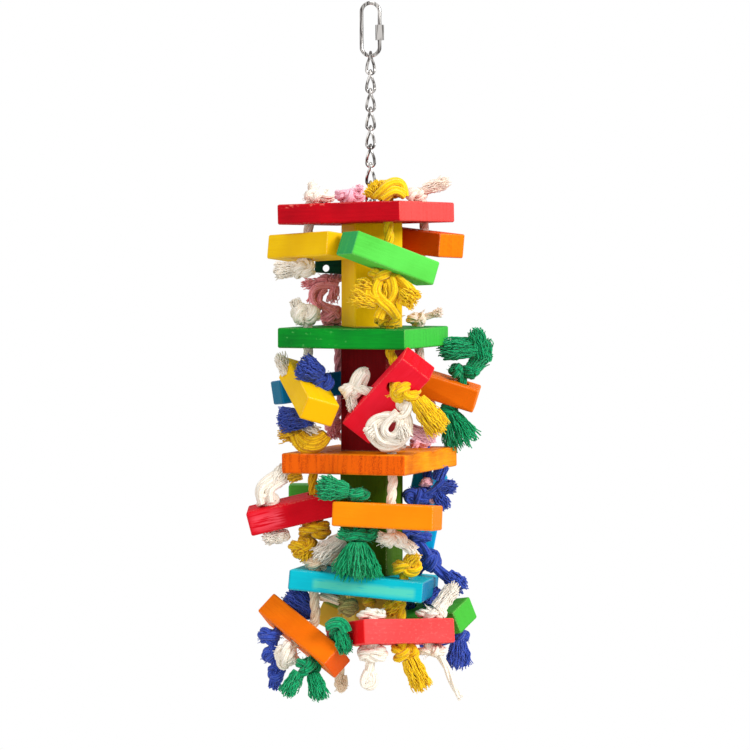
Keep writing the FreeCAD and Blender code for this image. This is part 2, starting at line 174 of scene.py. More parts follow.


# planed pine steeped in water dye: the grain shows faintly through a matt colour, end grain has a colour
# of its own, mostly darker where it drinks more dye but for a few pieces lighter as painted light on their
# lit ends, and edges are a little paler, partly rubbed and partly painted highlight
def dyedPine(name, dye, centre, angles, half, heart, bands, worn=None):
    tree = newTree(name)
    face, end, streak = dye
    where = addNode(tree, "TexCoord")
    turn = [math.radians(a) for a in reversed(angles)]
    local = addNode(tree, "Mapping", {
        "Vector": where.outputs["Object"], "Location": centre, "Rotation": turn}, vector_type="TEXTURE")
    facing = addNode(tree, "Mapping", {
        "Vector": where.outputs["Normal"], "Rotation": turn}, vector_type="TEXTURE")
    place = addNode(tree, "SeparateXYZ", {0: local})
    normal = addNode(tree, "SeparateXYZ", {0: facing})
    alongGrain = addNode(tree, "Math", {0: normal.outputs[0]}, operation="ABSOLUTE")
    endGrain = addNode(tree, "MapRange", {"Value": alongGrain, "From Min": 0.55, "From Max": 0.8})
    # growth rings round a heart that lies outside the block
    ringSpace = addNode(tree, "Mapping", {
        "Vector": local, "Location": (0, *(h * mm for h in heart)), "Scale": pine["ringStretch"]})
    rings = addNode(tree, "TexWave", {
        "Vector": ringSpace, "Scale": pine["ringScale"], "Distortion": pine["ringWarp"],
        "Detail": 3.0, "Detail Scale": 12},
        wave_type="RINGS", rings_direction="X", wave_profile="SAW")
    unevenSpace = addNode(tree, "Mapping", {"Vector": local, "Scale": pine["unevenScale"]})
    uneven = addNode(tree, "TexNoise", {
        "Vector": unevenSpace, "Scale": 1.0, "Detail": 3, "Roughness": 0.6})
    uneven = addNode(tree, "MapRange", {
        "Value": uneven, "From Min": 0.42, "From Max": 0.62, "To Min": 0.04, "To Max": 0.6})
    ringLine = addNode(tree, "MapRange", {
        "Value": rings.outputs["Fac"], "From Min": 0.25, "From Max": 1.0, "To Max": uneven})
    fibreSpace = addNode(tree, "Mapping", {"Vector": local, "Scale": pine["fibreScale"]})
    fibres = addNode(tree, "TexNoise", {
        "Vector": fibreSpace, "Scale": 1.0, "Detail": 4, "Roughness": 0.6})
    fibreTone = addNode(tree, "MapRange", {
        "Value": fibres, "From Min": 0.45, "From Max": 0.75, "To Max": pine["fibreShare"]})
    # the wood takes up the dye unevenly, in patches
    blotches = addNode(tree, "TexNoise", {"Vector": local, "Scale": pine["blotchScale"], "Detail": 2})
    blotchTone = addNode(tree, "MapRange", {
        "Value": blotches, "From Min": 0.36, "From Max": 0.64, "To Max": pine["blotchShare"]})
    grit = addNode(tree, "TexNoise", {"Vector": local, "Scale": pine["gritScale"], "Detail": 2})
    endBands = addNode(tree, "Math", {0: ringLine, 1: bands}, operation="MULTIPLY")
    # end grain colour, which for a few pieces is a painted lit end instead of a darker one
    endGrainAndPaintedLitColor = addNode(tree, "Mix", {
        0: endBands, 6: toLinear(end), 7: toLinear(streak)}, data_type="RGBA")
    # edges are paler, by patches: partly rubbed wear and partly a painted highlight along the edges
    wander = addNode(tree, "MapRange", {
        "Value": grit, "From Min": 0.3, "From Max": 0.8,
        "To Min": -0.3 * mm, "To Max": 1.2 * mm})
    rubbedAndHighlitEdge = addNode(tree, "Math", {
        0: edgeDistance(tree, place, half), 1: wander}, operation="SUBTRACT")
    rubbedAndHighlitEdge = addNode(tree, "MapRange", {
        "Value": rubbedAndHighlitEdge, "From Min": pine["rubbedAndHighlitWide"] * mm, "From Max": 0.0})
    patchy = addNode(tree, "MapRange", {
        "Value": blotches, "From Min": 0.42, "From Max": 0.6, "To Min": 0.02, "To Max": 0.16})
    rubbedAndHighlitEdge = addNode(tree, "Math", {0: rubbedAndHighlitEdge, 1: patchy}, operation="MULTIPLY")
    # each layer of colour over the ones before it
    layers = [(tone, toLinear(streak)) for tone in (blotchTone, fibreTone, ringLine)]
    layers += [(endGrain, endGrainAndPaintedLitColor.outputs[2]), (rubbedAndHighlitEdge, toLinear(pine["rubbedAndHighlitColor"]))]
    if worn:
        layers.append((scuffMask(tree, local, place, normal, worn), toLinear(worn["color"])))
    color = toLinear(face)
    for share, over in layers:
        color = addNode(tree, "Mix", {0: share, 6: color, 7: over}, data_type="RGBA").outputs[2]
    roughness = addNode(tree, "MapRange", {
        "Value": fibres, "From Min": 0.3, "From Max": 0.7, "To Min": 0.5, "To Max": 0.65})
    relief = addNode(tree, "Math", {0: fibres, 1: grit}, operation="ADD")
    # sanding has worn the corners round
    sanded = addNode(tree, "Bevel", {"Radius": wood["sandedRound"] * mm}, samples=4)
    bump = addNode(tree, "Bump", {
        "Height": relief, "Strength": 1.0, "Distance": pine["relief"] * mm, "Normal": sanded})
    shader = addNode(tree, "BsdfPrincipled", {
        "Base Color": color, "Roughness": roughness, "IOR": 1.45,
        "Specular IOR Level": pine["shine"], "Normal": bump})
    addNode(tree, "OutputMaterial", {"Surface": shader})
    return bpy.data.materials[name]


# the face, end grain and streak colour of each dye
dyes = {
    "orange": ("#f87606", "#f87c04", "#dc6000"),
    "teal": ("#04b8c8", "#0274a0", "#04a0b4"),
    "yellow": ("#fccc02", "#f0b404", "#ecb400"),
    "maroon": ("#800008", "#500006", "#540006"),
    "olive": ("#446808", "#304c06", "#304c04"),
    "dark_green": ("#0c4430", "#062c1e", "#063022"),
    "pale_yellow": ("#ecd058", "#d8b03c", "#d4b03c"),
    # and of the pieces set apart: some took the dye differently, and some carry painted light: the pale
    # ends of board_1_red and board_2_green and the pale faces of block_4_front_red paint their lit sides,
    # and block_3_right_teal is painted lighter against the shade of the board above it
    "board_1_red": ("#cc0218", "#f84c48", "#940010"),
    "board_2_green": ("#069426", "#3cb83c", "#045c20"),
    "board_3_orange": ("#fc9c08", "#f06402", "#a82c00"),
    "block_1_front_green": ("#4cb83c", "#2ca058", "#5cd450"),
    "block_1_right_orange": ("#e85804", "#f87802", "#c84000"),
    "block_2_back_teal": ("#0680c0", "#006484", "#0468a0"),
    "block_2_front_red": ("#e80820", "#c80818", "#fc2840"),
    "block_3_back_green": ("#54b440", "#3c9430", "#44a434"),
    "block_3_right_teal": ("#04a8dc", "#0090c4", "#0490c0"),
    "block_3_front_orange": ("#fc9004", "#f47c04", "#f48000"),
    "block_3_left_red": ("#dc0c20", "#e83040", "#c00014"),
    "block_4_left_orange": ("#fc7c04", "#e05404", "#e06000"),
    "block_4_front_red": ("#f04c4c", "#e80a14", "#e03c3c"),
    "block_4_right_green": ("#4cac34", "#44b038", "#3c982c"),
}
# scuffed places, in mm along the wood and up its front; how many strokes there are in a metre; and
# from what part of their noise, how strongly and in what colour they show
worn = {
    "board_4_teal": {
        "along": (-32, 44), "up": (-6.0, 3.5), "soft": 3,
        "strokes": (60, 60, 500), "from": 0.3, "share": 0.8, "color": "#58ccb0"},
    "board_2_green": {
        "along": (-47, 10), "up": (-7, 7.2), "soft": 3,
        "strokes": (260, 260, 300), "from": 0.63, "share": 0.5, "color": "#70c870"},
    "board_1_red": {
        "along": (-48, -10), "up": (4, 7.5), "soft": 1.5,
        "strokes": (300, 300, 600), "from": 0.55, "share": 0.8, "color": "#ff8070"},
    "block_4_front_red": {
        "along": (-36, 37), "up": (-9, 9), "soft": 2,
        "strokes": (420, 420, 700), "from": 0.56, "share": 0.12, "color": "#ff9c90"},
    "block_3_left_red": {
        "along": (-32, -4), "up": (-9, 9), "soft": 6,
        "strokes": (60, 60, 800), "from": 0.42, "share": 0.55, "color": "#ff6070"},
}
# turn, pitch and roll of each piece of wood, as in the construction
boards = {
    "board_1_red": (-25, -1, 0.7), "board_2_green": (-20, 0.3, 0.6),
    "board_3_orange": (-24, -0.5, 0.7), "board_4_teal": (-8, 4.8, -2.9),
}
columns = {
    "column_1_yellow": 16.6, "column_2_maroon": -22, "column_3_olive": -20,
    "column_4_pale_yellow": 16,
}
# each side block's angles, its length, and where its rope hole is along and across it
blocks = {
    "block_1_left_yellow": ((-53.4, -1.4, -6.6), 75, (-1, -2.5)),
    "block_1_front_green": ((27.2, 18.7, -1.2), 69, (-1, 4)),
    "block_1_right_orange": ((-48.1, 5.5, -1.4), 75, (4, 2)),
    "block_1_back_dark_green": ((0, 4, 0), 75, (-15, 0)),
    "block_2_left_yellow": ((-75.7, 20.5, -17), 75, (-4.5, -4)),
    "block_2_front_red": ((-42.1, -39.8, -52.6), 75, (13, -3)),
    "block_2_right_orange": ((-4, 17.1, 8.1), 75, (-10, -4)),
    "block_2_back_teal": ((18.4, -7.8, -3.5), 75, (12.5, -2)),
    "block_3_left_red": ((-3.4, -13.5, 8.7), 64, (18, 2.5)),
    "block_3_front_orange": ((-17.2, 1.3, -3.4), 75, (1.5, 4)),
    "block_3_right_teal": ((0, -79, 90), 56, (0, 0)),
    "block_3_back_green": ((0, 0, 0), 75, (7, 2)),
    "block_4_left_orange": ((-39.6, 28, -36.2), 72, (1, -3.5)),
    "block_4_front_red": ((29.3, 2.9, -10.3), 75, (-1, -2.5)),
    "block_4_right_green": ((-37.4, -9, 23), 75, (-12, 5)),
    "block_4_back_pale_yellow": ((75, 0, 25), 75, (-22.5, 5)),
}
# half sizes with the grain first, edges, where the board's rope holes are, and the heart of the tree
# as seen from the middle of the wood; bands is how strongly rings show on end grain
wood = {
    "boardHalf": (48.5, 48.5, 7.25), "columnHalf": (37.5, 18, 18), "width": 25, "thickness": 17.5,
    "edgeRound": 0.45, "edgeSteps": 3, "edgeAngle": 25, "sandedRound": 2.0, "ropeReach": 31.5,
    "heart": (24, 31), "bands": 0.7, "sideHeart": (260, 20), "sideBands": 1.9,
}


def middleOf(node):
    low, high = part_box(node)
    return (Vector(low) + Vector(high)) / 2


def turned(angles):
    yaw, pitch, roll = (math.radians(a) for a in angles)
    return Euler((roll, pitch, yaw)).to_matrix()


def finishWood(node, angles, half, heart=wood["heart"], bands=wood["bands"]):
    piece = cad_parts[node]
    dye = dyes[max((d for d in dyes if node.endswith(d)), key=len)]
    material = dyedPine(
        "dyedPine_" + node, dye, middleOf(node), angles, half, heart, bands, worn.get(node))
    piece.data.materials.clear()
    piece.data.materials.append(material)
    piece.modifiers.new("weld", "WELD").merge_threshold = hair
    rounding = piece.modifiers.new("easedEdges", "BEVEL")
    rounding.width = wood["edgeRound"] * mm
    rounding.segments = wood["edgeSteps"]
    rounding.limit_method = "ANGLE"
    rounding.angle_limit = math.radians(wood["edgeAngle"])


for node, (turn, pitch, roll) in boards.items():
    if node == "board_3_orange":
        # cut the other way of the wood, so its front shows upright end grain
        sideways = (turn + 90, -roll, pitch)
        finishWood(node, sideways, wood["boardHalf"], wood["sideHeart"], wood["sideBands"])
    else:
        finishWood(node, (turn, pitch, roll), wood["boardHalf"])
for node, turn in columns.items():
    # the grain of a column runs up and down
    finishWood(node, (turn, 90, 0), wood["columnHalf"])
for node, (angles, length, _) in blocks.items():
    finishWood(node, angles, (length / 2, wood["width"] / 2, wood["thickness"] / 2))
print("wood finished")

# painted reflections: dark and bright streaks about 1 mm wide, drawn out along the wire
wireReflectionPaint = {"reflectionStreakScale": 620, "reflectionStretch": (1.0, 1.0, 0.12), "dark": "#4c4846", "bright": "#ccc8c4"}


# nickel plated steel wire with painted reflections: noise streaks along the wire mix a dark and a bright
# colour that stand in for what the metal mirrors
def nickelWithPaintedReflections(name):
    tree = newTree(name)
    where = addNode(tree, "TexCoord")
    drawn = addNode(tree, "Mapping", {"Vector": where.outputs["Object"], "Scale": wireReflectionPaint["reflectionStretch"]})
    streak = addNode(tree, "TexNoise", {"Vector": drawn, "Scale": wireReflectionPaint["reflectionStreakScale"], "Detail": 1.5})
    tone = addNode(tree, "MapRange", {"Value": streak, "From Min": 0.4, "From Max": 0.6})
    # painted reflection: the streaks mix a dark and a bright base colour
    color = addNode(tree, "Mix", {
        0: tone, 6: toLinear(wireReflectionPaint["dark"]), 7: toLinear(wireReflectionPaint["bright"])}, data_type="RGBA")
    roughness = addNode(tree, "MapRange", {"Value": tone, "To Min": 0.3, "To Max": 0.12})
    shader = addNode(tree, "BsdfPrincipled", {
        "Base Color": color.outputs[2], "Metallic": 1.0, "Roughness": roughness})
    addNode(tree, "OutputMaterial", {"Surface": shader})
    return bpy.data.materials[name]


nickel = nickelWithPaintedReflections("nickelWireWithPaintedReflections")
# in mm, to the middle of the wire; wire is its radius, and cuts are made along each straight side
chain = {
    "wire": 1.1, "bow": 2.9, "pitch": 13.4, "length": 15.75, "top": -34.15, "count": 8, "twist": 90,
    "cuts": 12,
}
quickLink = {
    "wire": 1.4, "bow": 6.6, "high": -5.2, "low": -30.2, "gate": (-17.0, -23.0), "cuts": 1,
    "sharpAngle": 40,
}
ringSteps = {"around": 32, "section": 16}


# opens a piece for editing with only the vertices, edges or polygons that pass a test selected
def pick(piece, kind, test):
    setMode("EDIT")
    bpy.context.tool_settings.mesh_select_mode = [kind == k for k in ("vertices", "edges", "polygons")]
    bpy.ops.mesh.select_all(action="DESELECT")
    setMode("OBJECT")
    for part in getattr(piece.data, kind):
        part.select = test(part)
    setMode("EDIT")


# a ring of wire whose lower half is drawn down, which leaves two straight sides
def drawnRing(name, size, high, low, turn):
    bpy.ops.object.select_all(action="DESELECT")
    bpy.ops.mesh.primitive_torus_add(
        location=(0, 0, high * mm), rotation=turn,
        major_segments=ringSteps["around"], minor_segments=ringSteps["section"],
        major_radius=size["bow"] * mm, minor_radius=size["wire"] * mm)
    piece = bpy.context.object
    piece.name = name
    bpy.ops.object.transform_apply(location=False, rotation=True, scale=False)
    pick(piece, "vertices", lambda vertex: vertex.co.z < -hair)
    bpy.ops.transform.translate(value=(0, 0, (low - high) * mm))
    setMode("OBJECT")
    corners = [vertex.co.copy() for vertex in piece.data.vertices]
    # only the edges of the straight sides are nearly as long as the ring was drawn down
    long = 0.8 * (high - low) * mm
    pick(piece, "edges", lambda edge: (
        corners[edge.vertices[0]] - corners[edge.vertices[1]]).length > long)
    bpy.ops.mesh.subdivide(number_cuts=size["cuts"])
    setMode("OBJECT")
    bpy.ops.object.shade_smooth()
    return piece


# puts a finished piece at the origin, gives it its material and body, and hides the nodes that it stands
# for
def settle(piece, material, body, nodes):
    bpy.ops.object.select_all(action="DESELECT")
    piece.select_set(True)
    bpy.context.view_layer.objects.active = piece
    bpy.ops.object.transform_apply(location=True, rotation=True, scale=True)
    piece.data.materials.clear()
    piece.data.materials.append(material)
    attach(piece, body)
    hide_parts(*nodes)


chainHigh = chain["top"] - chain["bow"]
chainLow = chain["top"] - chain["length"] + chain["bow"]
firstLink = drawnRing("chainLink1", chain, chainHigh, chainLow, (0, math.pi / 2, 0))
endShare = (chain["bow"] + chain["wire"]) / (chain["length"] + 2 * chain["wire"])
twist = firstLink.modifiers.new("quarterTwist", "SIMPLE_DEFORM")
twist.deform_method = "TWIST"
twist.deform_axis = "Z"
twist.angle = math.radians(chain["twist"])
twist.limits = (endShare, 1 - endShare)
bpy.ops.object.modifier_apply(modifier="quarterTwist")
links = [firstLink]
for number in range(2, chain["count"] + 1):
    links.append(addObject(f"chainLink{number}", firstLink.data.copy()))
    links[-1].location.z = firstLink.location.z - (number - 1) * chain["pitch"] * mm
for number, link in enumerate(links, 1):
    settle(link, nickel, f"chain_link_{number}", [f"chain_link_{number}"])

# the quick link is a larger ring, cut through on its right side where the sleeve nut closes it
eye = drawnRing("quickLinkWire", quickLink, quickLink["high"], quickLink["low"], (math.pi / 2, 0, 0))
for height in quickLink["gate"]:
    pick(eye, "polygons", lambda polygon: True)
    bpy.ops.mesh.bisect(plane_co=(0, 0, height * mm), plane_no=(0, 0, 1))
    setMode("OBJECT")
gateHigh, gateLow = ((g - quickLink["high"]) * mm for g in quickLink["gate"])
pick(eye, "polygons", lambda polygon: polygon.center.x > 0 and gateLow < polygon.center.z < gateHigh)
bpy.ops.mesh.delete(type="FACE")
bpy.ops.mesh.select_all(action="SELECT")
bpy.ops.mesh.fill_holes(sides=0)
bpy.ops.mesh.normals_make_consistent(inside=False)
setMode("OBJECT")
bpy.ops.object.shade_smooth_by_angle(angle=math.radians(quickLink["sharpAngle"]))
settle(eye, nickel, "quick_link", ["quick_link"])
for node in ("quick_link_nut", "core_wire", "end_washer"):
    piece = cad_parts[node]
    piece.data.materials.clear()
    piece.data.materials.append(nickel)
    piece.modifiers.new("weld", "WELD").merge_threshold = hair
print("chain and quick link ready")

# tone in skeins of about 2.5 mm, fuzz below 1 mm, and how many yarns show round a strand
fibre = {
    "skeinScale": 420, "fuzzScale": 1500, "lines": 6, "wobble": 3.0, "paintedGrooveShadeLevel": 0.3, "relief": 0.3,
    "matt": 0.85, "sheen": 0.25, "sheenMatt": 0.4, "shine": 0.15,
}


# soft laid cotton: loose parallel yarns show as fine lines along each strand, drawn as painted shade in
# the grooves between them; noise mixes a lit and a painted shaded colour, and the fibre is quite matt with
# a faint fuzz of light at its edges
def laidCotton(name, color, paintedShadeColor, lines):
    tree = newTree(name)
    where = addNode(tree, "TexCoord")
    skein = addNode(tree, "TexNoise", {
        "Vector": where.outputs["Object"], "Scale": fibre["skeinScale"], "Detail": 3, "Roughness": 0.7})
    fuzz = addNode(tree, "TexNoise", {
        "Vector": where.outputs["Object"], "Scale": fibre["fuzzScale"], "Detail": 2})
    tone = addNode(tree, "Math", {0: skein, 1: fuzz}, operation="ADD")
    tone = addNode(tree, "MapRange", {"Value": tone, "From Min": 0.7, "From Max": 1.02})
    relief = fuzz
    if lines:
        around = addNode(tree, "UVMap", uv_map="UVMap")
        around = addNode(tree, "SeparateXYZ", {0: around})
        ridge = addNode(tree, "Math", {
            0: around.outputs[1], 1: 2 * math.pi * lines}, operation="MULTIPLY")
        wobble = addNode(tree, "Math", {0: skein, 1: fibre["wobble"]}, operation="MULTIPLY")
        ridge = addNode(tree, "Math", {0: ridge, 1: wobble}, operation="ADD")
        ridge = addNode(tree, "Math", {0: ridge}, operation="SINE")
        ridge = addNode(tree, "MapRange", {"Value": ridge, "From Min": -1.0, "From Max": 1.0})
        # painted shade: the grooves between the yarns are darkened
        paintedGrooveShade = addNode(tree, "MapRange", {
            "Value": ridge, "From Min": 0.0, "From Max": 0.4, "To Min": fibre["paintedGrooveShadeLevel"]})
        tone = addNode(tree, "Math", {0: tone, 1: paintedGrooveShade}, operation="MULTIPLY")
        relief = addNode(tree, "Math", {0: relief, 1: ridge}, operation="ADD")
    # noise and grooves mix the lit colour with a painted shaded colour
    mixed = addNode(tree, "Mix", {0: tone, 6: toLinear(paintedShadeColor), 7: toLinear(color)}, data_type="RGBA")
    bump = addNode(tree, "Bump", {"Height": relief, "Strength": 1.0, "Distance": fibre["relief"] * mm})
    shader = addNode(tree, "BsdfPrincipled", {
        "Base Color": mixed.outputs[2], "Roughness": fibre["matt"], "Sheen Weight": fibre["sheen"],
        "Sheen Roughness": fibre["sheenMatt"], "Specular IOR Level": fibre["shine"], "Normal": bump})
    addNode(tree, "OutputMaterial", {"Surface": shader})
    return bpy.data.materials[name]


# the lit and the shaded colour of each cotton, and the record's slot it belongs to
cottons = {
    "white": ("#fcf5e9", "#e8d6be", "white"),
    "peach": ("#fcecdc", "#f6d8c2", "natural"),
    "natural": ("#f0dcc0", "#cca880", "natural"),
    "yellow": ("#f8d018", "#dc9c04", "yellow"),
    # the yellow cotton again, darker as painted shade
    "yellowInPaintedShade": ("#f4c418", "#b87808", "yellow"),
    "blue": ("#3e58bc", "#182878", "blue"),
    "green": ("#10aa6c", "#044c34", "green"),
    "pink": ("#fcc8d4", "#e89cb2", "pink"),
    "dustyPink": ("#ffacb4", "#d06a74", "pink"),
    "maroon": ("#b45c64", "#702c34", "pink"),
    "olive": ("#b4a868", "#6c6428", "natural"),
}
cottonLooks = {
    (kind, key): laidCotton(f"laidCotton{kind}_{key}", lit, shaded, lines)
    for kind, lines in (("Strand", fibre["lines"]), ("Yarn", 0))
    for key, (lit, shaded, _) in cottons.items()}
# in mm: offset is from the rope's middle to a strand's, lay is the length of one wind, reach is the
# rope's radius, slack is how far a rope goes on to find its knot, lead is its bend at a hole, out is
# how far it stands out of a block, and yarn is the radius of one yarn
strand = {
    "radius": 2.0, "offset": 1.75, "lay": 26.0, "looseLay": 85.0, "reach": 3.6, "slack": 30.0,
    "lead": 5.0, "leadShare": 0.3, "out": 3, "start": 10, "stopper": (7, 7, 6), "step": 1.6,
    "roundness": 2, "yarn": 0.38, "yarnRoundness": 0,
}


def softCurve(name, radius, sides):
    curve = bpy.data.curves.new(name, "CURVE")
    curve.dimensions = "3D"
    curve.bevel_depth = radius * mm
    curve.bevel_resolution = sides
    curve.use_fill_caps = True
    return curve


def addLine(curve, points, radii=None, kind="POLY"):
    line = curve.splines.new(kind)
    line.points.add(len(points) - 1)
    for i, p in enumerate(points):
        line.points[i].co = (*(Vector(p) * mm), 1)
        line.points[i].radius = radii[i] if radii else 1
    return line


# turns a curve into a mesh piece of the toy
def meshFrom(curve, name, material, nodes):
    carrier = addObject(name + "Curve", curve)
    mesh = bpy.data.meshes.new_from_object(carrier)
    bpy.data.objects.remove(carrier)
    mesh.name = name
    mesh.materials.clear()
    mesh.materials.append(material)
    mesh.polygons.foreach_set("use_smooth", [True] * len(mesh.polygons))
    piece = addObject(name, mesh)
    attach(piece, "toy")
    if nodes:
        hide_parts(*nodes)


# points along a smooth line through a few places
def smoothLine(places):
    curve = bpy.data.curves.new("route", "CURVE")
    curve.dimensions = "3D"
    line = addLine(curve, places, kind="NURBS")
    line.order_u = 3
    line.use_endpoint_u = True
    length = sum((Vector(a) - Vector(b)).length for a, b in zip(places, places[1:]))
    line.resolution_u = max(2, int(length / strand["step"] / max(1, len(places) - 1)) + 1)
    carrier = addObject("route", curve)
    mesh = bpy.data.meshes.new_from_object(carrier)
    points = [v.co / mm for v in mesh.vertices]
    bpy.data.objects.remove(carrier)
    return points


# three strands wound round a line of points given in mm
def layStrands(curve, line, thick=1.0, lay=strand["lay"]):
    travelled, side = random.uniform(0, lay), None
    rows = [[], [], []]
    for i, p in enumerate(line):
        ahead = (line[min(i + 1, len(line) - 1)] - line[max(i - 1, 0)]).normalized()
        if side is None:
            side = ahead.orthogonal().normalized()
        side = (side - ahead * side.dot(ahead)).normalized()
        cross = ahead.cross(side)
        if i:
            travelled += (p - line[i - 1]).length
        for s in range(3):
            angle = 2 * math.pi * (s / 3 + travelled / lay / thick)
            out = side * math.cos(angle) + cross * math.sin(angle)
            rows[s].append(p + out * strand["offset"] * thick)
    for row in rows:
        addLine(curve, row, [thick] * len(row))


# thin and thinPower make the rope of a small knot thinner; the rest are shares of its half size,
# the greatest tilt in degrees, and how many loops it may have
knotShape = {
    "thin": 0.22, "thinPower": 0.8, "leastRoom": 0.5, "tilt": 28, "loops": (3, 3, 5), "steps": 90,
    "ring": 0.62, "swing": 0.38, "rise": 0.75, "drift": 0.14,
}


# a fat soft knot: the rope winds twice round and through itself inside a lump of the given half sizes
def tieKnot(curve, middle, half):
    thick = min(1.0, knotShape["thin"] * min(half) ** knotShape["thinPower"])
    room = [max(h - strand["reach"] * thick, knotShape["leastRoom"]) for h in half]
    most = knotShape["tilt"]
    tilt = turned((random.uniform(0, 360), random.uniform(-most, most), random.uniform(-most, most)))
    loops = random.choice(knotShape["loops"])
    wobble = [random.uniform(0, 2 * math.pi) for _ in range(3)]
    points = []
    for k in range(knotShape["steps"] + 1):
        t = 2 * math.pi * k / knotShape["steps"]
        reach = knotShape["ring"] + knotShape["swing"] * math.cos(loops * t)
        rise = knotShape["rise"] * math.sin(loops * t)
        p = tilt @ Vector((reach * math.cos(2 * t), reach * math.sin(2 * t), rise))
        drift = [knotShape["drift"] * math.sin(t + w) for w in wobble]
        points.append(Vector([m + (c + d) * r for m, c, d, r in zip(middle, p, drift, room)]))
    layStrands(curve, points, thick)


# crowd is how many more yarns there are than the table says; reach, edgeShort, spread and stray are
# shares of the end's length, sway is in mm, and waves and size are the least and the most of a yarn
frayShape = {
    "crowd": 1.12, "reach": (0.72, 1.04), "edgeShort": 0.12, "waves": (1.0, 2.6), "size": (0.85, 1.2),
    "points": 8, "flare": 0.8, "stray": 0.06, "mostSway": 0.9, "sway": 0.15, "swayShare": 0.04,
    "tipSize": 0.85,
}


# the frayed end of a rope: wavy yarns from a bundle at its root to a wider brush at its tip
def frayEnd(curve, root, tip, rootWide, tipWide, yarns, fine=1.0):
    axis = tip - root
    length = axis.length
    u = axis.orthogonal().normalized()
    v = axis.normalized().cross(u)
    last = frayShape["points"] - 1
    mostSway = min(frayShape["mostSway"], frayShape["swayShare"] * length + frayShape["sway"])
    for _ in range(int(frayShape["crowd"] * yarns)):
        turn, share = random.uniform(0, 2 * math.pi), math.sqrt(random.random())
        out = u * math.cos(turn) + v * math.sin(turn)
        reach = random.uniform(*frayShape["reach"]) - frayShape["edgeShort"] * share
        drift = Vector([random.uniform(-1, 1) for _ in range(3)])
        phases = [random.uniform(0, 2 * math.pi) for _ in range(4)]
        waves = [random.uniform(*frayShape["waves"]) for _ in range(2)]
        size = fine * random.uniform(*frayShape["size"])
        points = []
        for k in range(last + 1):
            s = k / last
            wide = (rootWide + (tipWide - rootWide) * s ** frayShape["flare"]) * share
            p = root + axis * (s * reach) + out * wide + drift * (frayShape["stray"] * length * s)
            sway = mostSway * s ** 0.5
            p += u * (sway * math.sin(waves[0] * 2 * math.pi * s + phases[0]))
            p += v * (sway * math.sin(waves[1] * 2 * math.pi * s + phases[1]))
            points.append(p)
        addLine(curve, points, [size] * last + [frayShape["tipSize"] * size])


# tufts start inside the knot and end outside it, as shares of its half size, and get wider, in mm
strayShape = {"tufts": 3, "from": 0.55, "to": 1.25, "wide": (2.5, 4.0), "yarns": 4, "fine": 0.55}


# a few yarns that have worked loose from a knot
def strayYarns(curve, middle, half):
    for _ in range(strayShape["tufts"]):
        way = Vector([random.uniform(-1, 1) for _ in range(3)]).normalized()
        root, tip = (Vector([m + share * h * w for m, h, w in zip(middle, half, way)])
                     for share in (strayShape["from"], strayShape["to"]))
        frayEnd(curve, root, tip, *strayShape["wide"], strayShape["yarns"], strayShape["fine"])


